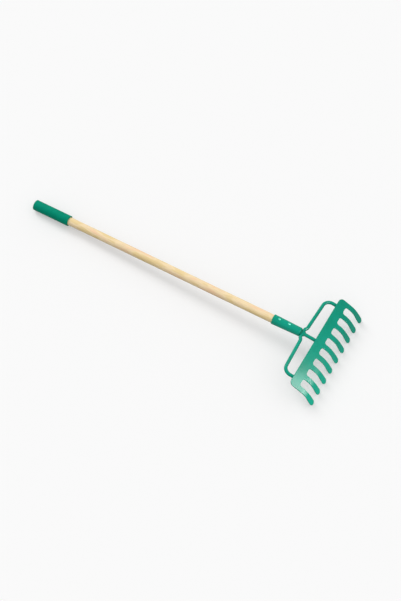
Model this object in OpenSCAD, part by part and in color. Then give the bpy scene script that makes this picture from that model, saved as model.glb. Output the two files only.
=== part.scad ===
// Child's bow rake for sand, lying on its tines and the end of its grip.
// Every piece is drawn with the handle along +X (grip behind, head in front)
// and +Z up, and the finished rake is then tipped and set down on z = 0.

/* [Handle] */
// Diameter of the round wooden handle
handle_d = 18.5; // [16:0.5:22]
// Length of bare wood between the grip and the socket
handle_run = 507; // [300:1:900]
// Length of the bevel turned on the blind end of the wood
handle_bevel = 1.5; // [0.5:0.1:3]

/* [Grip] */
// Length of the plastic grip along the handle
grip_length = 90; // [60:1:140]
// Wall of the grip round the wood
grip_wall = 2.5; // [1.5:0.1:4]
// Thickness of the grip's closed end
grip_end_t = 4; // [2:0.1:8]
// Rounding of the grip's outer edges
grip_edge_r = 0.8; // [0.3:0.1:1.4]

/* [Socket] */
// Length of the steel socket
socket_l = 65; // [50:1:100]
// Sheet thickness of the socket
socket_wall = 1.7; // [1:0.1:2.2]
// Outer diameter of the socket's closed end
socket_end_d = 18.9; // [16:0.1:20]
// Rounding of the socket's closed end
socket_end_r = 2; // [0.5:0.1:3]

/* [Rivets] */
// Diameter of the rivet shanks
rivet_d = 3.5; // [2.5:0.1:5]
// Diameter of the rivet heads
rivet_head_d = 5.4; // [5:0.1:8]
// Height of the rivet heads
rivet_head_h = 1.2; // [0.8:0.1:2]
// Distance of the first rivet from the socket's mouth
rivet_first = 14; // [8:0.5:20]
// Distance between the two rivets
rivet_pitch = 23; // [15:0.5:30]

/* [Bow] */
// Diameter of the steel rod of the bow and the strut
rod_d = 7.5; // [6:0.1:9]
// Distance between the two ends of the bow, centre to centre
bow_w = 199; // [180:1:220]
// Distance from the rod across the socket's end to the plate's rear edge
bow_reach = 28.3; // [27:0.1:60]
// Half length of the straight stretch across the socket's end
bow_cross = 8; // [6:0.5:12]
// How far the shoulders set the arms forward
bow_set = 3.7; // [2:0.1:6]
// Centre-line radius of the shoulder bends
bow_shoulder_r = 8; // [8:0.5:12]
// Straight stretch between the two bends of a shoulder
bow_shoulder_run = 2; // [1:0.5:4]
// Centre-line radius of the two outer corners
bow_corner_r = 16; // [12:0.5:18]
// Forward sweep of the arms, in degrees
bow_sweep = 2.1; // [0:0.1:3]
// Slope of the bow below the line of the handle, in degrees
bow_slope = 8.15; // [4:0.05:14]
// Centre-line radius of the bends under the plate's rear edge
foot_r = 12; // [10:0.5:16]
// Length of rod that lies under the plate
foot_l = 11; // [6:0.5:13]

/* [Head] */
// Number of tines
tine_n = 9; // [7:2:11]
// Distance between neighbouring tines
tine_pitch = 28.5; // [26:0.1:34]
// Sheet thickness of the head
sheet_t = 2.2; // [1.8:0.1:3]
// Depth of the plate from its rear edge to the slots
plate_depth = 21; // [19:0.5:30]
// Rounding of the plate's two rear corners
plate_corner_r = 10; // [6:0.5:12]
// Slope of the plate below the line of the handle, in degrees
plate_slope = 26.4; // [22:0.1:32]

/* [Tines] */
// Width of a tine at its neck
tine_w = 11.3; // [9:0.1:14]
// Width of a tine at its tip
tine_tip_w = 13; // [10:0.1:16]
// Rounding of the slots' inner corners
slot_corner_r = 5; // [2:0.1:7]
// Length of the flat neck between slot and bend
neck_l = 9; // [8:0.5:14]
// Middle radius of the bend in the tines
bend_r = 42; // [25:0.5:60]
// Slope of the tine tips below the line of the handle, in degrees
tip_slope = 56; // [45:0.5:70]
// Length from the end of the bend to where the tip is full width
flare_l = 9; // [5:0.5:12]
// Length of the full-width tip with its round end
tip_l = 14; // [10:0.5:22]

/* [Welds] */
// Radius of the weld beads
weld_r = 2.2; // [1.6:0.1:3]
// Length of each bead along a rod
weld_l = 8; // [4:0.5:10]

/* [Fit] */
// Gap round the wood in the grip and round the rivet shanks
slip_gap = 0.1; // [0.05:0.05:0.3]
// Gap between painted steel pieces that are welded together
seat_gap = 0.1; // [0.05:0.05:0.2]
// How much a bend draws the steel thinner, on each side
bend_draw = 0.02; // [0.01:0.01:0.05]
// How far the ends of a bend reach into the straight steel
bend_lap = 0.2; // [0.1:0.05:0.25]

/* [Hidden] */

$fn = 96;
quarter_turn = 90;
round_step = quarter_turn / 6;
overrun = 1;
wood_colour = [0.95, 0.87, 0.72];
grip_colour = [0.0, 0.49, 0.38];
steel_colour = [0.04, 0.61, 0.49];
rivet_colour = [0.62, 0.86, 0.80];

// Places along the handle, measured from the rod across the socket's end
rod_r = rod_d / 2;
handle_r = handle_d / 2;
socket_end_x = -(rod_r + seat_gap);
socket_mouth_x = socket_end_x - socket_l;
socket_mouth_r = handle_r + slip_gap + socket_wall;
socket_end_in_x = socket_end_x - socket_wall;
grip_mouth_x = socket_mouth_x - handle_run;
grip_end_x = grip_mouth_x - grip_length;
grip_r = handle_r + slip_gap + grip_wall;
handle_end_x = grip_end_x + grip_end_t + slip_gap;

// The socket's taper, outside and inside
socket_taper = (socket_mouth_r - socket_end_d / 2) / socket_l;
function socket_outer(x) = socket_mouth_r - socket_taper * (x - socket_mouth_x);
function socket_inner(x) = socket_outer(x) - socket_wall;
handle_nose_x = socket_end_in_x - slip_gap - handle_bevel;

// The bow's path in its own plane
shoulder_span = norm([2 * bow_shoulder_r, bow_shoulder_run]);
bow_turn = acos((bow_shoulder_r * (1 + cos(bow_sweep)) - bow_set) / shoulder_span)
    - atan2(bow_shoulder_run, 2 * bow_shoulder_r);
shoulder_y = bow_shoulder_r * (2 * sin(bow_turn) - sin(bow_sweep)) + bow_shoulder_run * cos(bow_turn);
corner_y = bow_corner_r * (1 - sin(bow_sweep));
bow_arm = (bow_w / 2 - bow_cross - shoulder_y - corner_y) / cos(bow_sweep);
corner_end = bow_set + bow_arm * sin(bow_sweep) + bow_corner_r * cos(bow_sweep);
foot_turn = plate_slope - bow_slope;
foot_tangent = foot_r * tan(foot_turn / 2);
bow_stub = bow_reach - foot_tangent - corner_end;

// The middle of the sheet stands off the rod's centre line by this much
stand_off = rod_r + sheet_t / 2 + seat_gap;
plate_x = bow_reach * cos(bow_slope) + stand_off * sin(plate_slope);
plate_z = -bow_reach * sin(bow_slope) + stand_off * cos(plate_slope);
plate_w = (tine_n - 1) * tine_pitch + tine_w;
flat_l = plate_depth + neck_l;
slot_w = tine_pitch - tine_w;
bend_turn = tip_slope - plate_slope;

// Where the middle of the sheet ends at the tips
bend_x = plate_x + flat_l * cos(plate_slope) + bend_r * (sin(tip_slope) - sin(plate_slope));
bend_z = plate_z - flat_l * sin(plate_slope) - bend_r * (cos(plate_slope) - cos(tip_slope));
tip_x = bend_x + (flare_l + tip_l) * cos(tip_slope);
tip_z = bend_z - (flare_l + tip_l) * sin(tip_slope);

// The rake is set down on the tips' lower edges and on the rim of the grip's end
toe_x = tip_x - sheet_t / 2 * sin(tip_slope);
toe_z = tip_z - sheet_t / 2 * cos(tip_slope);
heel_x = grip_end_x + grip_edge_r;
heel_z = grip_edge_r - grip_r;
rest_span = norm([toe_x - heel_x, toe_z - heel_z]);
rest_tip = atan2(heel_z - toe_z, toe_x - heel_x) - asin(grip_edge_r / rest_span);
front_x = (tip_x + sheet_t / 2 * sin(tip_slope)) * cos(rest_tip)
    - (tip_z + sheet_t / 2 * cos(tip_slope)) * sin(rest_tip);
back_x = heel_x * cos(rest_tip) + heel_z * sin(rest_tip) - grip_edge_r;
rest_lift = -(toe_x * sin(rest_tip) + toe_z * cos(rest_tip));

rivet_xs = [socket_mouth_x + rivet_first, socket_mouth_x + rivet_first + rivet_pitch];

// Sets a piece down in its resting place
module laid_down() {
    translate([-(front_x + back_x) / 2, 0, rest_lift]) rotate([0, -rest_tip, 0]) children();
}

// Turns a profile of length and radius into a round piece along +X
module turned() {
    rotate([0, 90, 0]) rotate_extrude() mirror([1, -1]) children();
}

// A straight rod along +X
module rod_run(len) {
    rotate([0, 90, 0]) cylinder(h = len, r = rod_r);
}

// A rod that bends to the left of +X, in the XY plane
module rod_bend(turn, radius) {
    lap = asin(bend_lap / radius);
    translate([0, radius, 0]) rotate(-90 - lap) rotate_extrude(angle = turn + 2 * lap)
        translate([radius, 0]) circle(r = rod_r - bend_draw);
}

// Carries its children to the far end of a left-hand bend
module after_bend(turn, radius) {
    translate([radius * sin(turn), radius * (1 - cos(turn)), 0]) rotate(turn) children();
}

// The last stretch of a rod, which bends down and lies under the plate
module rod_foot(run) {
    rod_run(run);
    translate([run, 0, 0]) rotate([-90, 0, 0]) {
        rod_bend(foot_turn, foot_r);
        after_bend(foot_turn, foot_r) rod_run(foot_l);
    }
}

// Puts a piece drawn in the bow's plane onto its slope
module in_bow_plane() {
    rotate([0, bow_slope, 0]) children();
}

// Puts a piece drawn on the flat sheet, with x from the rear edge, onto the plate's slope
module in_plate_plane() {
    translate([plate_x, 0, plate_z]) rotate([0, plate_slope, 0]) children();
}

// One half of the bow, from the straight stretch across the socket's end to its foot
module bow_half() {
    translate([0, bow_cross, 0]) rotate(90) mirror([0, 1, 0]) {
        rod_bend(bow_turn, bow_shoulder_r);
        after_bend(bow_turn, bow_shoulder_r) {
            rod_run(bow_shoulder_run);
            translate([bow_shoulder_run, 0, 0]) mirror([0, 1, 0]) {
                rod_bend(bow_turn - bow_sweep, bow_shoulder_r);
                after_bend(bow_turn - bow_sweep, bow_shoulder_r) bow_arm_and_foot();
            }
        }
    }
}

// The straight arm of the bow, its outer corner and its foot
module bow_arm_and_foot() {
    rod_run(bow_arm);
    translate([bow_arm, 0, 0]) mirror([0, 1, 0]) {
        rod_bend(90 - bow_sweep, bow_corner_r);
        after_bend(90 - bow_sweep, bow_corner_r) mirror([0, 1, 0]) rod_foot(bow_stub);
    }
}

// Solid outline of the socket, with its rounded closed end
module socket_outline() {
    round_x = socket_end_x - socket_end_r;
    round_y = socket_outer(round_x) - socket_end_r;
    polygon(concat(
        [[socket_mouth_x, 0], [socket_mouth_x, socket_mouth_r]],
        [for (a = [0 : round_step : quarter_turn])
            [round_x + socket_end_r * sin(a), round_y + socket_end_r * cos(a)]],
        [[socket_end_x, 0]]
    ));
}

// Hollow of the socket, which the end of the handle fills
module socket_hollow() {
    polygon([
        [socket_mouth_x - overrun, 0], [socket_mouth_x - overrun, socket_inner(socket_mouth_x - overrun)],
        [socket_end_in_x, socket_inner(socket_end_in_x)], [socket_end_in_x, 0]
    ]);
}

// A straight pin through the socket, at one rivet's place
module rivet_bore(x, radius) {
    translate([x, 0, -socket_mouth_r - overrun]) cylinder(h = 2 * (socket_mouth_r + overrun), r = radius);
}

// Places of the tines across the head
module each_tine() {
    for (i = [0 : tine_n - 1]) translate([0, (i - (tine_n - 1) / 2) * tine_pitch, 0]) children();
}

// A slot of the flat blank, with two round inner corners
module slot_outline() {
    r = slot_corner_r;
    translate([plate_depth, -(slot_w / 2 - r)]) square([flat_l, slot_w - 2 * r]);
    translate([plate_depth + r, -slot_w / 2]) square([flat_l, slot_w]);
    for (side = [-1, 1]) translate([plate_depth + r, side * (slot_w / 2 - r)]) circle(r = r);
}

// Outline of the plate with the flat necks of its tines
module blank_outline() {
    difference() {
        union() {
            translate([0, -(plate_w / 2 - plate_corner_r)]) square([flat_l, plate_w - 2 * plate_corner_r]);
            translate([plate_corner_r, -plate_w / 2]) square([flat_l - plate_corner_r, plate_w]);
            for (side = [-1, 1]) translate([plate_corner_r, side * (plate_w / 2 - plate_corner_r)])
                circle(r = plate_corner_r);
        }
        for (i = [0 : tine_n - 2]) translate([0, (i - (tine_n - 2) / 2) * tine_pitch]) slot_outline();
    }
}

// Outline of one tip, from the end of the bend to its round end
module tip_outline() {
    tip_r = tine_tip_w / 2;
    polygon([[0, -tine_w / 2], [flare_l, -tip_r], [flare_l, tip_r], [0, tine_w / 2]]);
    translate([flare_l, -tip_r]) square([tip_l - tip_r, tine_tip_w]);
    translate([flare_l + tip_l - tip_r, 0]) circle(r = tip_r);
}

// A sheet of the head's thickness, lying about its middle
module sheet() {
    translate([0, 0, -sheet_t / 2]) linear_extrude(sheet_t) children();
}

// The curved part and the tip of one tine, drawn from the end of its flat neck
module curved_tine() {
    lap = asin(bend_lap / bend_r);
    translate([0, 0, -bend_r]) rotate([90, 0, 0]) rotate(90 - bend_turn - lap)
        rotate_extrude(angle = bend_turn + 2 * lap) translate([bend_r, 0])
            square([sheet_t - 2 * bend_draw, tine_w - 2 * bend_draw], center = true);
    translate([bend_r * sin(bend_turn), 0, -bend_r * (1 - cos(bend_turn))]) rotate([0, bend_turn, 0])
        sheet() tip_outline();
}

// A round bead of weld along +X, with round ends
module bead(len) {
    rotate([0, 90, 0]) cylinder(h = len, r = weld_r);
    sphere(r = weld_r);
    translate([len, 0, 0]) sphere(r = weld_r);
}

// The wooden handle, shaved to the socket's taper and bored for the rivets
module handle() {
    color(wood_colour) laid_down() difference() {
        turned() polygon([
            [handle_end_x, 0], [handle_end_x, handle_r - handle_bevel],
            [handle_end_x + handle_bevel, handle_r], [socket_mouth_x, handle_r],
            [handle_nose_x, socket_inner(handle_nose_x) - slip_gap],
            [handle_nose_x + handle_bevel, socket_inner(handle_nose_x) - slip_gap - handle_bevel],
            [handle_nose_x + handle_bevel, 0]
        ]);
        for (x = rivet_xs) rivet_bore(x, rivet_d / 2 + slip_gap);
    }
}

// The plastic sleeve with its closed end, pushed over the blind end of the wood
module grip() {
    edge = grip_edge_r;
    inner_r = handle_r + slip_gap;
    color(grip_colour) laid_down() turned() difference() {
        union() {
            translate([grip_end_x + edge, 0]) square([grip_length - 2 * edge, grip_r]);
            translate([grip_end_x, 0]) square([grip_length, grip_r - edge]);
            for (x = [grip_end_x + edge, grip_mouth_x - edge]) translate([x, grip_r - edge])
                circle(r = edge);
        }
        translate([grip_end_x + grip_end_t, 0]) square([grip_length, inner_r]);
    }
}

// The drawn steel cup that holds the handle
module socket() {
    color(steel_colour) laid_down() difference() {
        turned() difference() {
            socket_outline();
            socket_hollow();
        }
        for (x = rivet_xs) rivet_bore(x, rivet_d / 2 + slip_gap);
    }
}

// Two rivets through socket and wood, with a low dome at each end
module socket_rivets() {
    dome_r = (pow(rivet_head_d / 2, 2) + pow(rivet_head_h, 2)) / (2 * rivet_head_h);
    color(rivet_colour) laid_down() for (x = rivet_xs) translate([x, 0, 0]) {
        seat_z = socket_outer(x - rivet_head_d / 2) + seat_gap;
        translate([0, 0, -seat_z]) cylinder(h = 2 * seat_z, r = rivet_d / 2);
        for (side = [0, 1]) mirror([0, 0, side]) translate([0, 0, seat_z]) rotate_extrude() intersection() {
            translate([0, rivet_head_h - dome_r]) circle(r = dome_r);
            square([rivet_head_d, rivet_head_h]);
        }
    }
}

// The rod of the bow, bent from one foot to the other
module bow_rod() {
    color(steel_colour) laid_down() in_bow_plane() {
        translate([0, -bow_cross, 0]) rotate(90) rod_run(2 * bow_cross);
        bow_half();
        mirror([0, 1, 0]) bow_half();
    }
}

// The rod in the middle, hollowed at its end to sit on the rod across the socket
module strut() {
    color(steel_colour) laid_down() in_bow_plane() difference() {
        rod_foot(bow_reach - foot_tangent);
        rotate([90, 0, 0]) cylinder(h = 2 * bow_cross, r = rod_r + seat_gap, center = true);
    }
}

// The stamped sheet: a sloping plate with curved tines
module tine_plate() {
    color(steel_colour) laid_down() in_plate_plane() {
        sheet() blank_outline();
        each_tine() translate([flat_l, 0, 0]) curved_tine();
    }
}

// Beads above and below the rod, on the closed end of the socket
module socket_welds() {
    color(steel_colour) laid_down() difference() {
        for (side = [-1, 1]) translate([socket_end_x, -weld_l / 2, side * rod_r]) rotate(90) bead(weld_l);
        translate([socket_end_x - 2 * weld_r, -weld_l, -socket_mouth_r])
            cube([2 * weld_r, 2 * weld_l, 2 * socket_mouth_r]);
        in_bow_plane() rotate([90, 0, 0]) cylinder(h = 2 * weld_l, r = rod_r, center = true);
    }
}

// Beads in the two corners between the strut and the rod across the socket's end
module strut_welds() {
    color(steel_colour) laid_down() in_bow_plane() difference() {
        for (side = [-1, 1]) translate([rod_r, side * rod_r, 0]) sphere(r = weld_r);
        rod_run(bow_reach / 2);
        rotate([90, 0, 0]) cylinder(h = 4 * rod_d, r = rod_r, center = true);
    }
}

// Beads on both sides of each rod, where it lies under the plate
module plate_welds() {
    start = foot_l - weld_l;
    color(steel_colour) laid_down() in_plate_plane() for (y = [-bow_w / 2, 0, bow_w / 2]) difference() {
        for (side = [-1, 1]) translate([start, y + side * (rod_r - weld_r / 2), -sheet_t / 2]) bead(weld_l);
        translate([0, y - rod_d, -sheet_t / 2]) cube([flat_l, 2 * rod_d, rod_d]);
        translate([0, y, -stand_off]) rod_run(flat_l);
    }
}

handle();
grip();
socket();
socket_rivets();
bow_rod();
strut();
tine_plate();
socket_welds();
strut_welds();
plate_welds();
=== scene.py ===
"""Looks of a child's bow rake for sand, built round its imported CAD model.

Every piece is drawn along the line of the handle, as the CAD source draws it:
+X runs from the grip to the head, +Z is up, and the origin is the middle of the
rod that crosses the end of the socket. Plan.resting then tips the piece and sets
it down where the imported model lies. All lengths are in metres, all angles in
radians.
"""

import logging
import math
from dataclasses import dataclass, field
from enum import Enum

import bpy
from bpy.types import Material, Node, NodeSocket, NodeTree, Object
from mathutils import Matrix, Quaternion, Vector
from mathutils.geometry import delaunay_2d_cdt


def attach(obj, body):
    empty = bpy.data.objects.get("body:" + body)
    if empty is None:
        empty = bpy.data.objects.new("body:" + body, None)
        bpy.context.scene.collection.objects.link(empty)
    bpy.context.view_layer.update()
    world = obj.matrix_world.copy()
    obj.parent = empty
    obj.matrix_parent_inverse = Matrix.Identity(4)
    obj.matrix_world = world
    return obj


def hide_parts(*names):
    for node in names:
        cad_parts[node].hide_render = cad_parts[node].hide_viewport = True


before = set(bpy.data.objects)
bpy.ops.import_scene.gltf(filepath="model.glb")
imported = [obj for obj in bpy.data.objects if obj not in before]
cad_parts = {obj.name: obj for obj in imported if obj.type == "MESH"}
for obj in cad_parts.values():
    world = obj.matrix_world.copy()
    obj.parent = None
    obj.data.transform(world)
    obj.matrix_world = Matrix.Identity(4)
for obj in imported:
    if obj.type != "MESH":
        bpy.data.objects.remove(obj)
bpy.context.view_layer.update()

LOG = logging.getLogger("sand_rake")
BODY = "root"
MM = 0.001
QUARTER = math.pi / 2

# The curve between screen tones and light: a straight foot, then a power.
TONES = 255
FOOT_END, FOOT_SLOPE = 0.04045, 12.92
CURVE_SHIFT, CURVE_POWER = 0.055, 2.4

# Radius of a ring that closes a mesh on its axis.
TINY = 0.01 * MM

# The stretch of values that a noise pattern mostly fills.
NOISE_SPAN = (0.3, 0.7)

# Sockets of a colour Mix node, whose names repeat.
MIX_FACTOR, MIX_LOWER, MIX_UPPER = 0, 6, 7
MIX_RESULT = 2

# Triangulation: keep the inside, and merge points that are closer than this in mm.
INSIDE_ONLY = 1
MERGE_WITHIN = 1e-4

Pair = tuple[float, float]
Triple = tuple[float, float, float]
Colour = Triple
Stop = tuple[float, Colour]


class Slot(Enum):
    """Names of the rake's material slots."""

    WOOD = "handle_wood"
    GRIP = "grip_plastic"
    STEEL = "painted_steel"
    RIVET = "rivet_metal"


class Grain(Enum):
    """How the fine marks of a surface run."""

    EVEN = (1.0, 1.0, 1.0)
    ALONG = (0.035, 1.0, 1.0)


def light_value(tone: float) -> float:
    """Turns a screen tone from 0 to 255 into a linear value.

    Args:
        tone: The tone as a screen shows it.

    Returns:
        The linear value from 0 to 1.
    """
    share = tone / TONES
    if share <= FOOT_END:
        return share / FOOT_SLOPE
    return ((share + CURVE_SHIFT) / (1 + CURVE_SHIFT)) ** CURVE_POWER


def paint(red: float, green: float, blue: float) -> Colour:
    """Turns a screen colour into a linear one.

    Args:
        red: Red tone from 0 to 255.
        green: Green tone from 0 to 255.
        blue: Blue tone from 0 to 255.

    Returns:
        The linear colour.
    """
    return light_value(red), light_value(green), light_value(blue)


# Finishes


class Recipe:
    """A material that is being put together from shader nodes."""

    def __init__(self, name: str, grain: Grain) -> None:
        """Starts a material with a Principled shader and the piece's own coordinates.

        Args:
            name: Name of the material.
            grain: How the fine marks of the material run.
        """
        self.material = bpy.data.materials.new(name)
        self.material.use_nodes = True
        self.tree = self.material.node_tree
        self.tree.nodes.clear()
        self.shader = self.tree.nodes.new("ShaderNodeBsdfPrincipled")
        output = self.tree.nodes.new("ShaderNodeOutputMaterial")
        self.link(self.shader, "BSDF", output, "Surface")
        self.places = self.tree.nodes.new("ShaderNodeTexCoord")
        self.stretch = self.tree.nodes.new("ShaderNodeMapping")
        self.stretch.inputs["Scale"].default_value = grain.value
        self.link(self.places, "Object", self.stretch, "Vector")

    def link(self, source: Node, out: str | int, target: Node, into: str | int) -> None:
        """Joins one node's output to another node's input."""
        self.tree.links.new(source.outputs[out], target.inputs[into])

    def noise(self, size: float, detail: float, run: Node | None = None) -> Node:
        """Adds a noise pattern.

        Args:
            size: Size of the pattern's features.
            detail: How many finer layers the pattern has.
            run: The mapping that it follows, where that isn't the grain's.

        Returns:
            The noise node.
        """
        node = self.tree.nodes.new("ShaderNodeTexNoise")
        node.inputs["Scale"].default_value = 1 / size
        node.inputs["Detail"].default_value = detail
        self.link(run or self.stretch, "Vector", node, "Vector")
        return node

    def tones(self, pattern: Node, stops: tuple[Stop, ...]) -> Node:
        """Turns a pattern into colours.

        Args:
            pattern: The node that gives the pattern.
            stops: Places along the pattern's range with their colours.

        Returns:
            The colour ramp node.
        """
        ramp = self.tree.nodes.new("ShaderNodeValToRGB")
        marks = ramp.color_ramp.elements
        while len(marks) < len(stops):
            marks.new(1.0)
        for mark, (place, colour) in zip(marks, stops):
            mark.position = place
            mark.color = (*colour, 1.0)
        self.link(pattern, "Fac", ramp, "Fac")
        return ramp

    def spread(self, pattern: Node, low: float, high: float) -> Node:
        """Turns a pattern into a value between two limits.

        Args:
            pattern: The node that gives the pattern.
            low: Value at the pattern's dark places.
            high: Value at the pattern's light places.

        Returns:
            The node with the value on its Result output.
        """
        node = self.tree.nodes.new("ShaderNodeMapRange")
        node.inputs["From Min"].default_value = NOISE_SPAN[0]
        node.inputs["From Max"].default_value = NOISE_SPAN[1]
        node.inputs["To Min"].default_value = low
        node.inputs["To Max"].default_value = high
        self.link(pattern, "Fac", node, "Value")
        return node

    def relief(self, pattern: Node, height: float, strength: float) -> None:
        """Raises the surface by a pattern.

        Args:
            pattern: The node that gives the pattern.
            height: Height of the relief.
            strength: Share of the relief that is used.
        """
        bump = self.tree.nodes.new("ShaderNodeBump")
        bump.inputs["Distance"].default_value = height
        bump.inputs["Strength"].default_value = strength
        self.link(pattern, "Fac", bump, "Height")
        self.link(bump, "Normal", self.shader, "Normal")


@dataclass(frozen=True)
class Finish:
    """A surface with slightly uneven colour, gloss and relief."""

    name: str
    dark: Colour
    light: Colour
    patch: float
    rough: Pair
    relief_size: float
    relief_height: float
    relief_strength: float = 0.5
    specular: float = 0.5
    metallic: float = 0.0
    patch_detail: float = 3.0
    gloss_per_patch: float = 3.0
    fine_detail: float = 4.0

    def material(self) -> Material:
        """Builds the material of this finish.

        Returns:
            The new material.
        """
        recipe = Recipe(self.name, Grain.EVEN)
        patches = recipe.noise(self.patch, self.patch_detail)
        tones = recipe.tones(patches, tuple(zip(NOISE_SPAN, (self.dark, self.light))))
        recipe.link(tones, "Color", recipe.shader, "Base Color")
        shine = recipe.noise(self.patch / self.gloss_per_patch, self.fine_detail)
        gloss = recipe.spread(shine, *self.rough)
        recipe.link(gloss, "Result", recipe.shader, "Roughness")
        fine = recipe.noise(self.relief_size, self.fine_detail)
        recipe.relief(fine, self.relief_height, self.relief_strength)
        recipe.shader.inputs["Metallic"].default_value = self.metallic
        recipe.shader.inputs["Specular IOR Level"].default_value = self.specular
        return recipe.material


@dataclass(frozen=True)
class PaleWood:
    """Varnished pale wood with broad bands of tone and fine fibres along the handle."""

    name: str = "varnished pale wood"
    bands: tuple[Stop, ...] = (
        (0.38, paint(254, 217, 176)),
        (0.46, paint(250, 226, 184)),
        (0.54, paint(254, 231, 187)),
        (0.62, paint(243, 218, 160)),
    )
    band_size: float = 11 * MM
    band_detail: float = 2.0
    band_stretch: float = 0.22
    fibre: Colour = paint(205, 170, 120)
    fibre_size: float = 1.1 * MM
    fibre_detail: float = 6.0
    fibre_share: float = 0.32
    rough: Pair = (0.42, 0.6)
    relief_height: float = 0.05 * MM
    relief_strength: float = 0.6
    specular: float = 0.35

    def material(self, tilt: float) -> Material:
        """Builds the wood.

        Args:
            tilt: Angle by which the grain climbs towards the head.

        Returns:
            The new material.
        """
        recipe = Recipe(self.name, Grain.ALONG)
        recipe.stretch.inputs["Rotation"].default_value.y = tilt
        broad = recipe.tree.nodes.new("ShaderNodeMapping")
        broad.inputs["Rotation"].default_value.y = tilt
        broad.inputs["Scale"].default_value = (self.band_stretch, 1.0, 1.0)
        recipe.link(recipe.places, "Object", broad, "Vector")
        bands = recipe.noise(self.band_size, self.band_detail, broad)
        tones = recipe.tones(bands, self.bands)
        fibres = recipe.noise(self.fibre_size, self.fibre_detail)
        share = recipe.spread(fibres, self.fibre_share, 0.0)
        mix = recipe.tree.nodes.new("ShaderNodeMix")
        mix.data_type = "RGBA"
        mix.inputs[MIX_UPPER].default_value = (*self.fibre, 1.0)
        recipe.link(share, "Result", mix, MIX_FACTOR)
        recipe.link(tones, "Color", mix, MIX_LOWER)
        recipe.link(mix, MIX_RESULT, recipe.shader, "Base Color")
        gloss = recipe.spread(fibres, self.rough[1], self.rough[0])
        recipe.link(gloss, "Result", recipe.shader, "Roughness")
        recipe.relief(fibres, self.relief_height, self.relief_strength)
        recipe.shader.inputs["Specular IOR Level"].default_value = self.specular
        return recipe.material


ENAMEL = Finish(
    name="green enamel",
    dark=paint(0, 148, 120),
    light=paint(0, 158, 132),
    patch=30 * MM,
    rough=(0.2, 0.24),
    relief_size=1.6 * MM,
    relief_height=0.02 * MM,
    relief_strength=0.25,
    specular=0.13,
)
# Rough enamel over the weld beads, in a darker green than the rest: the extra darkness is painted
# shade at the joints between socket, strut, rod and plate.
WELD_ENAMEL_AND_SHADE = Finish(
    name="green enamel over weld, darkened as painted shade",
    dark=paint(0, 116, 90),
    light=paint(0, 138, 108),
    patch=4 * MM,
    rough=(0.42, 0.58),
    relief_size=1.2 * MM,
    relief_height=0.3 * MM,
    specular=0.08,
)
GRIP_PLASTIC = Finish(
    name="satin green plastic",
    dark=paint(0, 135, 107),
    light=paint(0, 145, 118),
    patch=14 * MM,
    rough=(0.4, 0.52),
    relief_size=0.7 * MM,
    relief_height=0.03 * MM,
    specular=0.04,
)
RIVET_METAL = Finish(
    name="satin rivet metal",
    dark=paint(66, 170, 146),
    light=paint(96, 194, 172),
    patch=2 * MM,
    rough=(0.4, 0.5),
    relief_size=0.5 * MM,
    relief_height=0.03 * MM,
    metallic=0.7,
)


# Meshes


@dataclass
class Draft:
    """A mesh that is being drawn, with the exact normal of every point."""

    points: list[Vector] = field(default_factory=list)
    normals: list[Vector] = field(default_factory=list)
    faces: list[tuple[int, ...]] = field(default_factory=list)

    def ring(self, points: list[Vector], normals: list[Vector]) -> list[int]:
        """Adds a row of points.

        Args:
            points: The points of the row.
            normals: Their normals.

        Returns:
            The numbers of the new points.
        """
        first = len(self.points)
        self.points.extend(points)
        self.normals.extend(normals)
        return list(range(first, len(self.points)))

    def join(self, low: list[int], high: list[int]) -> None:
        """Closes the strip between two rings of the same number of points.

        Args:
            low: Numbers of the points of the first ring.
            high: Numbers of the points of the next ring.
        """
        count = len(low)
        for i in range(count):
            j = (i + 1) % count
            self.faces.append((low[i], low[j], high[j], high[i]))

    def hoop(
        self, spot: Vector, heading: Vector, size: float, lean: float, around: int
    ) -> list[int]:
        """Adds a ring of points round a centre line.

        Args:
            spot: Middle of the ring.
            heading: Direction of the centre line there.
            size: Radius of the ring.
            lean: Angle by which its normals lean along the line.
            around: Number of points.

        Returns:
            The numbers of the new points.
        """
        side = Vector((0, 0, 1)).cross(heading).normalized()
        top = heading.cross(side)
        angles = [2 * math.pi * i / around for i in range(around)]
        spokes = [side * math.cos(a) + top * math.sin(a) for a in angles]
        return self.ring(
            [spot + spoke * size for spoke in spokes],
            [spoke * math.cos(lean) + heading * math.sin(lean) for spoke in spokes],
        )

    def piece(self, name: str, material: Material, move: Matrix) -> Object:
        """Makes the Blender object.

        Args:
            name: Name of the object.
            material: Its material.
            move: The move from the line of the handle to the row's frame.

        Returns:
            The new object.
        """
        mesh = bpy.data.meshes.new(name)
        mesh.from_pydata([tuple(move @ p) for p in self.points], [], self.faces)
        mesh.validate()
        mesh.update()
        mesh.polygons.foreach_set("use_smooth", [True] * len(mesh.polygons))
        swing = move.to_3x3()
        mesh.normals_split_custom_set_from_vertices([tuple(swing @ n) for n in self.normals])
        mesh.materials.append(material)
        piece = bpy.data.objects.new(name, mesh)
        bpy.context.scene.collection.objects.link(piece)
        return piece


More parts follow.
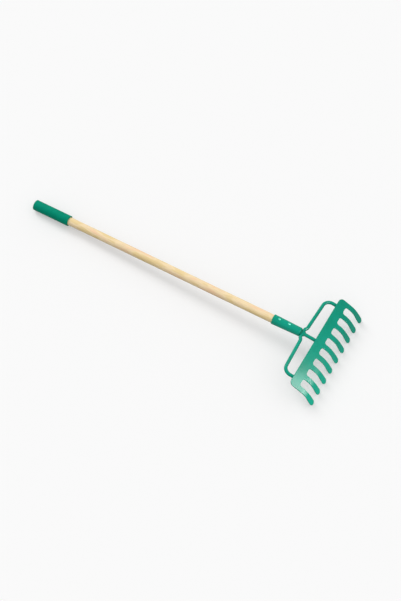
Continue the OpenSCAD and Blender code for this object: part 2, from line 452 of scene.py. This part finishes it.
@dataclass
class Profile:
    """The side of a turned piece, drawn on from one place and radius to the next."""

    spot: Pair
    steps: int = 6
    around: int = 96
    marks: list[tuple[float, float, float, float]] = field(default_factory=list)

    def flat(self, end: Pair, parts: int = 1) -> None:
        """Adds a straight stretch.

        Args:
            end: Place and radius at its end.
            parts: How many parts it is cut into.
        """
        place, radius = self.spot
        along, out = end[0] - place, end[1] - radius
        length = math.hypot(along, out)
        for i in range(parts + 1):
            self.spot = (place + along * i / parts, radius + out * i / parts)
            self.marks.append((*self.spot, -out / length, along / length))

    def round(self, centre: Pair, radius: float, start: float, end: float) -> None:
        """Adds a round edge.

        Args:
            centre: Place and radius of the round's centre.
            radius: Radius of the round.
            start: Angle at its start, from +X outwards.
            end: Angle at its end.
        """
        for i in range(self.steps + 1):
            angle = start + (end - start) * i / self.steps
            cos, sin = math.cos(angle), math.sin(angle)
            self.spot = (centre[0] + radius * cos, centre[1] + radius * sin)
            self.marks.append((*self.spot, cos, sin))

    def turned(self) -> Draft:
        """Turns the profile round the line of the handle.

        Returns:
            The closed mesh.
        """
        draft = Draft()
        angles = [2 * math.pi * i / self.around for i in range(self.around)]
        spokes = [Vector((0, math.cos(a), math.sin(a))) for a in angles]
        last: list[int] = []
        for place, radius, along, out in self.marks:
            ring = draft.ring(
                [Vector((place, 0, 0)) + spoke * max(radius, TINY) for spoke in spokes],
                [Vector((along, 0, 0)) + spoke * out for spoke in spokes],
            )
            if last:
                draft.join(last, ring)
            last = ring
        return draft


@dataclass
class Route:
    """The centre line of a bent rod, followed from one end to the other."""

    spot: Vector
    heading: Vector
    step: float = math.radians(5)
    points: list[Vector] = field(default_factory=list)
    headings: list[Vector] = field(default_factory=list)

    def mark(self) -> None:
        """Notes the present place and heading."""
        self.points.append(self.spot)
        self.headings.append(self.heading)

    def run(self, length: float, parts: int = 1) -> None:
        """Goes straight on.

        Args:
            length: Distance to go.
            parts: How many parts it is cut into.
        """
        for _ in range(parts):
            self.spot = self.spot + self.heading * (length / parts)
            self.mark()

    def bend(self, turn: float, radius: float, inward: Vector) -> None:
        """Follows a bend.

        Args:
            turn: Angle of the bend.
            radius: Radius of the centre line.
            inward: Direction from the rod to the bend's centre.
        """
        centre = self.spot + inward * radius
        start = self.heading
        parts = max(2, math.ceil(turn / self.step))
        for i in range(1, parts + 1):
            angle = turn * i / parts
            self.spot = centre + (start * math.sin(angle) - inward * math.cos(angle)) * radius
            self.heading = start * math.cos(angle) + inward * math.sin(angle)
            self.mark()


@dataclass
class Rod:
    """A round rod along a centre line, with softly broken ends."""

    points: list[Vector]
    headings: list[Vector]
    radius: float
    edge: float
    around: int = 32
    edge_steps: int = 3

    def drawn(self) -> Draft:
        """Draws the rod.

        Returns:
            The closed mesh.
        """
        draft = Draft()
        first, last = self.points[0], self.points[-1]
        back, ahead = self.headings[0], self.headings[-1]
        turns = [QUARTER * i / self.edge_steps for i in range(self.edge_steps, -1, -1)]
        rings = [draft.hoop(first, back, TINY, -QUARTER, self.around)]
        for lean in turns:
            inset, size = self.broken(lean)
            rings.append(draft.hoop(first + back * inset, back, size, -lean, self.around))
        for spot, heading in zip(self.points[1:-1], self.headings[1:-1]):
            rings.append(draft.hoop(spot, heading, self.radius, 0.0, self.around))
        for lean in reversed(turns):
            inset, size = self.broken(lean)
            rings.append(draft.hoop(last - ahead * inset, ahead, size, lean, self.around))
        rings.append(draft.hoop(last, ahead, TINY, QUARTER, self.around))
        for low, high in zip(rings, rings[1:]):
            draft.join(low, high)
        return draft

    def broken(self, lean: float) -> Pair:
        """Distance from the rod's end and radius where the broken edge leans by an angle."""
        return self.edge * (1 - math.sin(lean)), self.radius - self.edge * (1 - math.cos(lean))


# The rake


@dataclass(frozen=True)
class Plan:
    """Sizes that several pieces share, and how the finished rake lies."""

    handle_r: float = 18.5 / 2 * MM
    handle_run: float = 507 * MM
    grip_length: float = 90 * MM
    grip_wall: float = 2.5 * MM
    grip_end_t: float = 4 * MM
    grip_edge_r: float = 0.8 * MM
    socket_length: float = 65 * MM
    socket_wall: float = 1.7 * MM
    socket_end_r: float = 18.9 / 2 * MM
    rod_r: float = 7.5 / 2 * MM
    bow_reach: float = 28.3 * MM
    bow_slope: float = math.radians(8.15)
    sheet_t: float = 2.2 * MM
    plate_depth: float = 21 * MM
    neck_length: float = 9 * MM
    plate_slope: float = math.radians(26.4)
    bend_r: float = 42 * MM
    tip_slope: float = math.radians(56)
    tip_length: float = 23 * MM
    slip_gap: float = 0.1 * MM
    seat_gap: float = 0.1 * MM

    @property
    def grip_r(self) -> float:
        """Outer radius of the grip."""
        return self.handle_r + self.slip_gap + self.grip_wall

    @property
    def socket_end(self) -> float:
        """Place of the socket's closed end."""
        return -(self.rod_r + self.seat_gap)

    @property
    def socket_mouth(self) -> float:
        """Place of the socket's mouth."""
        return self.socket_end - self.socket_length

    @property
    def grip_mouth(self) -> float:
        """Place of the grip's mouth."""
        return self.socket_mouth - self.handle_run

    @property
    def grip_end(self) -> float:
        """Place of the grip's closed end."""
        return self.grip_mouth - self.grip_length

    @property
    def bend_length(self) -> float:
        """Length of the bend along the sheet."""
        return self.bend_r * (self.tip_slope - self.plate_slope)

    @property
    def tine_end(self) -> float:
        """Length of the flat blank from its rear edge to the tips."""
        return self.plate_depth + self.neck_length + self.bend_length + self.tip_length

    def socket_radius(self, place: float) -> float:
        """Outer radius of the socket.

        Args:
            place: Place along the handle.

        Returns:
            The radius there.
        """
        mouth_r = self.handle_r + self.slip_gap + self.socket_wall
        taper = (mouth_r - self.socket_end_r) / self.socket_length
        return mouth_r - taper * (place - self.socket_mouth)

    def sheet_line(self, along: float) -> tuple[Vector, float]:
        """Follows the middle of the curved sheet.

        Args:
            along: Distance from the rear edge, measured along the sheet.

        Returns:
            The place in the plane of the handle, and the slope there.
        """
        stand_off = self.rod_r + self.sheet_t / 2 + self.seat_gap
        start, finish, radius = self.plate_slope, self.tip_slope, self.bend_r
        x = self.bow_reach * math.cos(self.bow_slope) + stand_off * math.sin(start)
        z = stand_off * math.cos(start) - self.bow_reach * math.sin(self.bow_slope)
        flat = min(along, self.plate_depth + self.neck_length)
        x += flat * math.cos(start)
        z -= flat * math.sin(start)
        curved = min(max(along - flat, 0.0), self.bend_length)
        slope = start + curved / radius
        x += radius * (math.sin(slope) - math.sin(start))
        z -= radius * (math.cos(start) - math.cos(slope))
        rest = max(along - flat - curved, 0.0)
        x += rest * math.cos(finish)
        z -= rest * math.sin(finish)
        return Vector((x, 0, z)), slope

    @property
    def tilt(self) -> float:
        """Angle by which the handle climbs towards the head."""
        return -self.resting().to_euler().y

    def resting(self) -> Matrix:
        """Works out how the rake lies on its tines and on the rim of its grip.

        Returns:
            The move from the line of the handle to the row's frame.
        """
        tip, slope = self.sheet_line(self.tine_end)
        lower = Vector((-math.sin(slope), 0, -math.cos(slope))) * (self.sheet_t / 2)
        toe, nose = tip + lower, tip - lower
        heel = Vector((self.grip_end + self.grip_edge_r, 0, self.grip_edge_r - self.grip_r))
        reach = toe - heel
        tilt = math.atan2(-reach.z, reach.x) - math.asin(self.grip_edge_r / reach.length)
        tipped = Matrix.Rotation(-tilt, 4, "Y")
        front = (tipped @ nose).x
        back = (tipped @ Vector((heel.x, 0, -heel.z))).x - self.grip_edge_r
        return Matrix.Translation((-(front + back) / 2, 0, -(tipped @ toe).z)) @ tipped


@dataclass
class SubAssembly:
    """A part of the rake that is built on the shared plan."""

    plan: Plan

    def lay_down(self, draft: Draft, name: str, material: Material, slot: Slot, node: str) -> None:
        """Makes a piece from a drawing and lays it down in place of its CAD node.

        Args:
            draft: The piece, drawn along the line of the handle.
            name: Name of the piece.
            material: Its material.
            slot: The slot for that material; not used.
            node: The CAD node that the piece stands for.
        """
        piece = draft.piece(name, material, self.plan.resting())
        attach(piece, BODY)
        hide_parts(node)
        LOG.info("%s: %d faces, in place of %s", name, len(draft.faces), node)

    def dress_node(self, node: str, material: Material) -> None:
        """Gives a CAD node a better material.

        Args:
            node: Name of the node.
            material: The material.
        """
        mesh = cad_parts[node].data
        mesh.materials.clear()
        mesh.materials.append(material)
        LOG.info("%s: CAD node kept, in %s", node, material.name)


@dataclass
class Handle(SubAssembly):
    """The round wooden handle."""

    bevel: float = 1.5 * MM
    parts: int = 40

    def build(self, wood: Material) -> None:
        """Turns the handle, with its end shaved to fit the socket.

        Args:
            wood: Material of the handle.
        """
        plan, bevel, radius = self.plan, self.bevel, self.plan.handle_r
        start = plan.grip_end + plan.grip_end_t + plan.slip_gap
        nose = plan.socket_end - plan.socket_wall - plan.slip_gap - bevel
        nose_r = plan.socket_radius(nose) - plan.socket_wall - plan.slip_gap
        side = Profile((start, 0.0))
        side.flat((start, radius - bevel))
        side.flat((start + bevel, radius))
        side.flat((plan.socket_mouth, radius), self.parts)
        side.flat((nose, nose_r))
        side.flat((nose + bevel, nose_r - bevel))
        side.flat((nose + bevel, 0.0))
        self.lay_down(side.turned(), "wooden-handle", wood, Slot.WOOD, "handle")


@dataclass
class Grip(SubAssembly):
    """The plastic sleeve on the free end of the handle."""

    lip: float = 0.6 * MM
    parts: int = 8

    def build(self, plastic: Material) -> None:
        """Turns the sleeve, hollow and with rounded edges.

        Args:
            plastic: Material of the grip.
        """
        plan = self.plan
        radius, inner, edge = plan.grip_r, plan.handle_r + plan.slip_gap, plan.grip_edge_r
        start, end, lip = plan.grip_end, plan.grip_mouth, self.lip
        floor = start + plan.grip_end_t
        side = Profile((start, 0.0))
        side.flat((start, radius - edge))
        side.round((start + edge, radius - edge), edge, math.pi, QUARTER)
        side.flat((end - edge, radius), self.parts)
        side.round((end - edge, radius - edge), edge, QUARTER, 0.0)
        side.flat((end, inner + lip))
        side.round((end - lip, inner + lip), lip, 0.0, -QUARTER)
        side.flat((floor, inner), self.parts)
        side.flat((floor, 0.0))
        self.lay_down(side.turned(), "moulded-grip", plastic, Slot.GRIP, "grip")


@dataclass
class Socket(SubAssembly):
    """The drawn steel cup that holds the handle, with its two rivets."""

    end_r: float = 2 * MM
    lip: float = 0.5 * MM
    inner_parts: int = 4
    outer_parts: int = 8

    def build(self, steel: Material) -> None:
        """Turns the tapered cup, with a round closed end and a rolled lip.

        Args:
            steel: Material of the socket.
        """
        plan = self.plan
        mouth, end, wall, lip = plan.socket_mouth, plan.socket_end, plan.socket_wall, self.lip
        mouth_r = plan.socket_radius(mouth)
        shoulder = end - self.end_r
        shoulder_r = plan.socket_radius(shoulder)
        floor = end - wall
        inner_mouth, inner_floor = mouth_r - wall, plan.socket_radius(floor) - wall
        side = Profile((floor, 0.0))
        side.flat((floor, inner_floor))
        side.flat((mouth + lip, inner_mouth), self.inner_parts)
        side.round((mouth + lip, inner_mouth + lip), lip, -QUARTER, -math.pi)
        side.flat((mouth, mouth_r - lip))
        side.round((mouth + lip, mouth_r - lip), lip, math.pi, QUARTER)
        side.flat((shoulder, shoulder_r), self.outer_parts)
        side.round((shoulder, shoulder_r - self.end_r), self.end_r, QUARTER, 0.0)
        side.flat((end, 0.0))
        self.lay_down(side.turned(), "drawn-socket", steel, Slot.STEEL, "socket")

    def rivets(self, metal: Material) -> None:
        """Dresses the two rivets."""
        self.dress_node("socket_rivets", metal)


@dataclass
class Bow(SubAssembly):
    """The bent rod between socket and plate, with the strut in its middle."""

    width: float = 199 * MM
    cross: float = 8 * MM
    set_forward: float = 3.7 * MM
    shoulder_r: float = 8 * MM
    shoulder_run: float = 2 * MM
    corner_r: float = 16 * MM
    sweep: float = math.radians(2.1)
    foot_r: float = 12 * MM
    foot_length: float = 11 * MM
    edge: float = 0.5 * MM
    arm_parts: int = 6
    foot_parts: int = 2

    def half(self) -> Route:
        """Follows one half of the bow, from the socket's end to its foot.

        Returns:
            The route in the bow's own plane.
        """
        plan, sweep, radius, between = self.plan, self.sweep, self.shoulder_r, self.shoulder_run
        span = math.hypot(2 * radius, between)
        turn = math.acos((radius * (1 + math.cos(sweep)) - self.set_forward) / span)
        turn -= math.atan2(between, 2 * radius)
        shoulder = radius * (2 * math.sin(turn) - math.sin(sweep)) + between * math.cos(turn)
        corner = self.corner_r * (1 - math.sin(sweep))
        arm = (self.width / 2 - self.cross - shoulder - corner) / math.cos(sweep)
        corner_end = self.set_forward + arm * math.sin(sweep) + self.corner_r * math.cos(sweep)
        foot_turn = plan.plate_slope - plan.bow_slope
        stub = plan.bow_reach - self.foot_r * math.tan(foot_turn / 2) - corner_end
        route = Route(Vector((0, self.cross, 0)), Vector((0, 1, 0)))
        route.mark()
        route.bend(turn, radius, Vector((1, 0, 0)))
        route.run(between)
        route.bend(turn - sweep, radius, Vector((-math.cos(turn), math.sin(turn), 0)))
        route.run(arm, self.arm_parts)
        route.bend(QUARTER - sweep, self.corner_r, Vector((math.cos(sweep), -math.sin(sweep), 0)))
        route.run(stub)
        route.bend(foot_turn, self.foot_r, Vector((0, 0, -1)))
        route.run(self.foot_length, self.foot_parts)
        return route

    def build(self, steel: Material) -> None:
        """Bends the rod from foot to foot.

        Args:
            steel: Material of the rod.
        """
        left = self.half()
        mirrored = [Vector((p.x, -p.y, p.z)) for p in reversed(left.points)]
        turned_back = [Vector((-h.x, h.y, -h.z)) for h in reversed(left.headings)]
        slope = Matrix.Rotation(self.plan.bow_slope, 3, "Y")
        points = [slope @ p for p in mirrored + left.points]
        headings = [slope @ h for h in turned_back + left.headings]
        rod = Rod(points, headings, self.plan.rod_r, self.edge)
        self.lay_down(rod.drawn(), "bent-bow", steel, Slot.STEEL, "bow_rod")

    def strut(self, steel: Material) -> None:
        """Dresses the strut."""
        self.dress_node("strut", steel)


@dataclass
class Welds(SubAssembly):
    """The weld beads of the head."""

    nodes: tuple[str, ...] = ("socket_welds", "strut_welds", "plate_welds")

    def build(self, steel: Material) -> None:
        """Dresses the beads."""
        for node in self.nodes:
            self.dress_node(node, steel)


@dataclass
class TinePlate(SubAssembly):
    """The stamped plate with its curved tines."""

    tines: int = 9
    pitch: float = 28.5 * MM
    neck_w: float = 11.3 * MM
    tip_w: float = 13 * MM
    corner_r: float = 10 * MM
    slot_r: float = 5 * MM
    flare: float = 9 * MM
    edge: float = 0.5 * MM
    edge_steps: int = 4
    corner_steps: int = 8
    tip_steps: int = 24
    root_steps: int = 7
    grid: float = 2 * MM
    first_row: int = 2
    tine_lines: tuple[float, ...] = (-0.5, 0.0, 0.5)
    web_lines: tuple[float, ...] = (0.38, 0.5, 0.62)

    def width(self, along: float) -> float:
        """Width of a tine.

        Args:
            along: Distance from the rear edge.

        Returns:
            The width there.
        """
        end = self.plan.tine_end - self.plan.tip_length + self.flare
        share = min(max((along - end + 2 * self.flare) / (2 * self.flare), 0.0), 1.0)
        return self.neck_w + (self.tip_w - self.neck_w) * share * share * (3 - 2 * share)

    def arc(self, centre: Pair, radius: float, start: float, end: float, parts: int) -> list[Pair]:
        """Points of an arc in the flat blank.

        Args:
            centre: Centre of the arc.
            radius: Radius of the arc.
            start: Angle at its start.
            end: Angle at its end.
            parts: Number of parts.

        Returns:
            The points, both ends included.
        """
        angles = [start + (end - start) * i / parts for i in range(parts + 1)]
        s, v = centre
        return [(s + radius * math.cos(a), v + radius * math.sin(a)) for a in angles]

    def side(self, middle: float, sign: int, start: float, end: float) -> list[Pair]:
        """Points along one side of a tine.

        Args:
            middle: Place of the tine across the head.
            sign: Which side of the tine, -1 or 1.
            start: Distance from the rear edge where the side starts.
            end: Distance where it ends.

        Returns:
            The points, both ends included.
        """
        parts = max(1, round(abs(end - start) / self.grid))
        stations = [start + (end - start) * i / parts for i in range(parts + 1)]
        return [(s, middle + sign * self.width(s) / 2) for s in stations]

    def outline(self) -> list[Pair]:
        """Outline of the flat blank.

        Returns:
            The points of one closed loop, counter-clockwise with the tines to the right.
        """
        plan, slot_r, corner_r = self.plan, self.slot_r, self.corner_r
        half = (self.tines - 1) / 2
        side_v = half * self.pitch + self.neck_w / 2
        corner_v = side_v - corner_r
        tip_r = self.tip_w / 2
        tip_s = plan.tine_end - tip_r
        slot_s = plan.plate_depth + slot_r
        outer_start, inner_start = corner_r + self.grid, slot_s + self.grid
        loop = self.arc((corner_r, -corner_v), corner_r, math.pi, 3 * QUARTER, self.corner_steps)
        for i in range(self.tines):
            middle = (i - half) * self.pitch
            loop += self.side(middle, -1, inner_start if i else outer_start, tip_s)
            loop += self.arc((tip_s, middle), tip_r, -QUARTER, QUARTER, self.tip_steps)[1:-1]
            if i == self.tines - 1:
                break
            loop += self.side(middle, 1, tip_s, inner_start)
            low = middle + self.neck_w / 2 + slot_r
            high = middle + self.pitch - self.neck_w / 2 - slot_r
            loop += self.arc((slot_s, low), slot_r, 3 * QUARTER, math.pi, self.root_steps)
            loop += self.arc((slot_s, high), slot_r, math.pi, QUARTER, self.root_steps)
        loop += self.side(half * self.pitch, 1, tip_s, outer_start)
        loop += self.arc((corner_r, corner_v), corner_r, QUARTER, math.pi, self.corner_steps)
        rear = round(2 * side_v / self.pitch)
        loop += [(0.0, corner_v - 2 * corner_v * i / rear) for i in range(1, rear)]
        return loop

    def build(self, steel: Material) -> None:
        """Cuts the blank, breaks its edges and bends its tines.

        Args:
            steel: Material of the plate.
        """
        loop = self.outline()
        outward = self.outward(loop)
        half_t, edge, steps = self.plan.sheet_t / 2, self.edge, self.edge_steps
        draft = Draft()
        rings: list[list[int]] = []
        for face, order in ((1, range(steps, -1, -1)), (-1, range(steps + 1))):
            for i in order:
                cos, sin = math.cos(QUARTER * i / steps), math.sin(QUARTER * i / steps)
                height = face * (half_t - edge * (1 - sin))
                path = self.inset(loop, outward, edge * (1 - cos))
                ways = zip(loop, outward)
                normals = [self.swung(s, n * cos, m * cos, face * sin) for (s, _), (n, m) in ways]
                rings.append(draft.ring([self.bent(s, v, height) for s, v in path], normals))
        for low, high in zip(rings, rings[1:]):
            draft.join(high, low)
        rim = self.inset(loop, outward, edge)
        self.cap(draft, rim, rings[0], 1)
        self.cap(draft, rim, rings[-1], -1)
        self.lay_down(draft, "stamped-tine-plate", steel, Slot.STEEL, "tine_plate")

    def outward(self, loop: list[Pair]) -> list[Pair]:
        """Outward directions along the outline.

        Args:
            loop: The outline.

        Returns:
            One unit direction for each point.
        """
        found = []
        for i in range(len(loop)):
            before, after = loop[i - 1], loop[(i + 1) % len(loop)]
            along, across = after[0] - before[0], after[1] - before[1]
            length = math.hypot(along, across)
            found.append((across / length, -along / length))
        return found

    def inset(self, loop: list[Pair], outward: list[Pair], depth: float) -> list[Pair]:
        """The outline, drawn in by a depth."""
        return [(s - ns * depth, v - nv * depth) for (s, v), (ns, nv) in zip(loop, outward)]

    def bent(self, along: float, across: float, height: float) -> Vector:
        """Place of a point of the blank after bending."""
        middle, slope = self.plan.sheet_line(along)
        return middle + Vector((height * math.sin(slope), across, height * math.cos(slope)))

    def swung(self, along: float, ahead: float, across: float, up: float) -> Vector:
        """Turns a normal of the blank as the bend turns it.

        Args:
            along: Distance of its point from the rear edge.
            ahead: Its share towards the tips.
            across: Its share across the head.
            up: Its share out of the blank.

        Returns:
            The normal after bending.
        """
        _, slope = self.plan.sheet_line(along)
        cos, sin = math.cos(slope), math.sin(slope)
        return Vector((ahead * cos + up * sin, across, up * cos - ahead * sin))

    def cap(self, draft: Draft, rim: list[Pair], ring: list[int], face: int) -> None:
        """Closes one face of the sheet with a fine mesh that can follow the bend.

        Args:
            draft: The mesh so far.
            rim: The edge of the face in the flat blank.
            ring: Numbers of the rim's points.
            face: 1 for the upper face, -1 for the lower one.
        """
        height = face * self.plan.sheet_t / 2
        scaled = [Vector(point) / MM for point in rim + self.inner_points()]
        border = [list(range(len(rim)))]
        mesh = delaunay_2d_cdt(scaled, [], border, INSIDE_ONLY, MERGE_WITHIN)
        spots, _, triangles, sources, _, _ = mesh
        numbers: list[int] = []
        for spot, source in zip(spots, sources):
            if source and source[0] < len(rim):
                numbers.append(ring[source[0]])
                continue
            s, v = spot.x * MM, spot.y * MM
            numbers += draft.ring([self.bent(s, v, height)], [self.swung(s, 0.0, 0.0, face)])
        for triangle in triangles:
            corners = [numbers[i] for i in triangle]
            draft.faces.append(tuple(corners if face == 1 else reversed(corners)))

    def inner_points(self) -> list[Pair]:
        """Points inside the blank that let it bend smoothly.

        They stand in rows across it: on lines along every tine, at shares of half its
        width, and on lines between the tines, at shares of the pitch.

        Returns:
            The points.
        """
        plan, step = self.plan, self.grid
        half = (self.tines - 1) / 2
        tip_s = plan.tine_end - self.tip_w / 2
        found: list[Pair] = []
        for i in range(self.tines):
            middle = (i - half) * self.pitch
            for j in range(self.first_row, round((tip_s - step) / step) + 1):
                s = step * j
                found += [(s, middle + self.width(s) / 2 * share) for share in self.tine_lines]
            if i < self.tines - 1:
                for j in range(self.first_row, round(plan.plate_depth / step) - 1):
                    found += [(step * j, middle + self.pitch * share) for share in self.web_lines]
        return found


# The studio


@dataclass(frozen=True)
class Studio:
    """A pale floor and backdrop with soft light."""

    pale: float = 0.955
    floor_size: float = 40.0
    floor_gap: float = 0.02 * MM
    bounce: float = 0.2
    shadow_lift: float = 0.35
    ambient: float = 0.75
    sun: float = 1.4
    sun_from: Triple = (-0.78, 0.27, 0.56)
    sun_spread: float = math.radians(26)
    sheen: float = 4.7
    sheen_size: Pair = (0.11, 0.42)
    sheen_from: Triple = (0.625, 0.043, 0.235)
    sheen_to: Triple = (0.345, -0.115, 0.035)
    sheen_roll: float = math.radians(-14)
    sheen_fade: Pair = (0.0, 0.45)
    fill: float = 0.16
    fill_size: float = 0.1
    fill_from: Triple = (0.51, -0.12, 0.08)
    fill_to: Triple = (0.365, -0.065, 0.015)

    def seen(self, tree: NodeTree) -> NodeSocket:
        """Tells the rays that show the background from those that only light the rake.

        Args:
            tree: The node tree that asks.

        Returns:
            A value that is 1 for camera, glossy and transmission rays.
        """
        rays = tree.nodes.new("ShaderNodeLightPath")
        found = rays.outputs["Is Camera Ray"]
        for kind in ("Is Glossy Ray", "Is Transmission Ray"):
            either = tree.nodes.new("ShaderNodeMath")
            either.operation = "MAXIMUM"
            tree.links.new(found, either.inputs[0])
            tree.links.new(rays.outputs[kind], either.inputs[1])
            found = either.outputs["Value"]
        return found

    def shade(self, tree: NodeTree, lighting: float, shown: float) -> NodeSocket:
        """Picks one grey for rays that show the background and another for the rest.

        Args:
            tree: The node tree that asks.
            lighting: Grey for the rays that only light the rake.
            shown: Grey for the rays that show the background.

        Returns:
            The grey.
        """
        pick = tree.nodes.new("ShaderNodeMix")
        pick.data_type = "FLOAT"
        pick.inputs["A"].default_value = lighting
        pick.inputs["B"].default_value = shown
        tree.links.new(self.seen(tree), pick.inputs["Factor"])
        return pick.outputs["Result"]

    def floor(self) -> Object:
        """Lays the floor.

        Returns:
            The floor.
        """
        half = self.floor_size / 2
        mesh = bpy.data.meshes.new("floor")
        corners = [(-half, -half, 0), (half, -half, 0), (half, half, 0), (-half, half, 0)]
        mesh.from_pydata(corners, [], [(0, 1, 2, 3)])
        material = bpy.data.materials.new("pale paper")
        material.use_nodes = True
        tree = material.node_tree
        tree.nodes.clear()
        diffuse = tree.nodes.new("ShaderNodeBsdfDiffuse")
        glow = tree.nodes.new("ShaderNodeEmission")
        both = tree.nodes.new("ShaderNodeAddShader")
        output = tree.nodes.new("ShaderNodeOutputMaterial")
        tree.links.new(diffuse.outputs["BSDF"], both.inputs[0])
        tree.links.new(glow.outputs["Emission"], both.inputs[1])
        tree.links.new(both.outputs["Shader"], output.inputs["Surface"])
        lift = self.pale * self.shadow_lift
        tree.links.new(self.shade(tree, self.bounce, self.pale - lift), diffuse.inputs["Color"])
        tree.links.new(self.shade(tree, 0.0, lift), glow.inputs["Color"])
        material.cycles.emission_sampling = "NONE"
        mesh.materials.append(material)
        floor = bpy.data.objects.new("floor", mesh)
        floor.location.z = -self.floor_gap
        bpy.context.scene.collection.objects.link(floor)
        return floor

    def backdrop(self) -> None:
        """Sets the world round the scene."""
        world = bpy.data.worlds.new("backdrop")
        world.use_nodes = True
        bpy.context.scene.world = world
        tree = world.node_tree
        background = tree.nodes["Background"]
        tree.links.new(self.shade(tree, self.ambient, self.pale), background.inputs["Color"])

    def hang(self, name: str, kind: str, power: float, spot: Triple, aim: Triple) -> Object:
        """Hangs a lamp.

        Args:
            name: Name of the lamp.
            kind: Its kind.
            power: Its strength.
            spot: Where it hangs.
            aim: The place that it faces.

        Returns:
            The lamp.
        """
        light = bpy.data.lights.new(name, kind)
        light.energy = power
        lamp = bpy.data.objects.new(name, light)
        lamp.location = spot
        lamp.rotation_mode = "QUATERNION"
        lamp.rotation_quaternion = (Vector(spot) - Vector(aim)).to_track_quat("Z", "Y")
        bpy.context.scene.collection.objects.link(lamp)
        return lamp

    def key(self) -> None:
        """Hangs the soft key light."""
        lamp = self.hang("soft key", "SUN", self.sun, self.sun_from, (0.0, 0.0, 0.0))
        lamp.data.angle = self.sun_spread

    def panel(self) -> None:
        """Hangs the panel that gives the last tines their pale sheen.

        Only reflections show it, and it grows darker towards its lower edge.
        """
        lamp = self.hang("sheen panel", "AREA", self.sheen, self.sheen_from, self.sheen_to)
        lamp.rotation_quaternion @= Quaternion((0, 0, 1), self.sheen_roll)
        lamp.visible_camera = False
        lamp.visible_diffuse = False
        light = lamp.data
        light.shape = "RECTANGLE"
        light.size, light.size_y = self.sheen_size
        light.use_nodes = True
        tree = light.node_tree
        place = tree.nodes.new("ShaderNodeNewGeometry")
        split = tree.nodes.new("ShaderNodeSeparateXYZ")
        share = tree.nodes.new("ShaderNodeMapRange")
        share.inputs["From Min"].default_value = self.sheen_fade[0]
        share.inputs["From Max"].default_value = self.sheen_fade[1]
        tree.links.new(place.outputs["Parametric"], split.inputs["Vector"])
        tree.links.new(split.outputs["Y"], share.inputs["Value"])
        tree.links.new(share.outputs["Result"], tree.nodes["Emission"].inputs["Strength"])

    def low_fill(self, floor: Object) -> None:
        """Hangs the small lamp that lights the last tines from ahead.

        Args:
            floor: The floor, which this lamp leaves out.
        """
        lamp = self.hang("low fill", "AREA", self.fill, self.fill_from, self.fill_to)
        lamp.data.size = self.fill_size
        lamp.visible_camera = False
        lamp.visible_glossy = False
        shaded = bpy.data.collections.new("shaded from the low fill")
        shaded.objects.link(floor)
        lamp.light_linking.receiver_collection = shaded
        shaded.collection_objects[0].light_linking.link_state = "EXCLUDE"

    def build(self) -> None:
        """Sets up the whole studio."""
        floor = self.floor()
        self.backdrop()
        self.key()
        self.panel()
        self.low_fill(floor)
        bpy.context.scene.view_settings.view_transform = "Standard"
        LOG.info("studio: floor, backdrop and lamps")


@dataclass(frozen=True)
class PhotoCamera:
    """The camera, where a perspective fit of the photograph puts it.

    The fit works in its own axes: along the handle to the head, across to the
    right and down, with its origin a little ahead of the crossing rod.
    """

    focal_px: float = 1150.0
    long_side_px: float = 601.0
    sensor: float = 36.0
    turn: Triple = (-0.568, 0.134, 0.507)
    offset: Triple = (214.538 * MM, 69.102 * MM, 2387.884 * MM)
    fit_origin: float = 3 * MM
    far: float = 100.0

    def place(self) -> Matrix:
        """Works out where the camera stands along the line of the handle.

        Returns:
            The camera's matrix, with the handle at rest along +X.
        """
        axis = Vector(self.turn)
        turned = Matrix.Rotation(axis.length, 3, axis.normalized())
        flip = Matrix.Diagonal((1, -1, -1))
        spot = flip @ (turned.transposed() @ -Vector(self.offset)) + Vector((self.fit_origin, 0, 0))
        axes = flip @ turned.transposed() @ flip
        return Matrix.Translation(spot) @ axes.to_4x4()

    def build(self, plan: Plan) -> None:
        """Sets up the camera.

        Args:
            plan: The plan that says how the rake lies.
        """
        data = bpy.data.cameras.new("photo camera")
        data.sensor_width = self.sensor
        data.lens = self.focal_px * self.sensor / self.long_side_px
        data.clip_end = self.far
        camera = bpy.data.objects.new("photo camera", data)
        bpy.context.scene.collection.objects.link(camera)
        camera.matrix_world = plan.resting() @ self.place()
        bpy.context.scene.camera = camera
        LOG.info("camera: lens %.1f mm", data.lens)


def main() -> None:
    """Builds the rake, the studio and the camera."""
    logging.basicConfig(level=logging.INFO, format="%(name)s: %(message)s")
    plan = Plan()
    enamel = ENAMEL.material()
    Handle(plan).build(PaleWood().material(plan.tilt))
    Grip(plan).build(GRIP_PLASTIC.material())
    socket = Socket(plan)
    socket.build(enamel)
    socket.rivets(RIVET_METAL.material())
    bow = Bow(plan)
    bow.build(enamel)
    bow.strut(enamel)
    # The weld beads carry painted shade: their enamel is darker than the rest of the green.
    Welds(plan).build(WELD_ENAMEL_AND_SHADE.material())
    TinePlate(plan).build(enamel)
    Studio().build()
    PhotoCamera().build(plan)


if __name__ == "__main__":
    main()
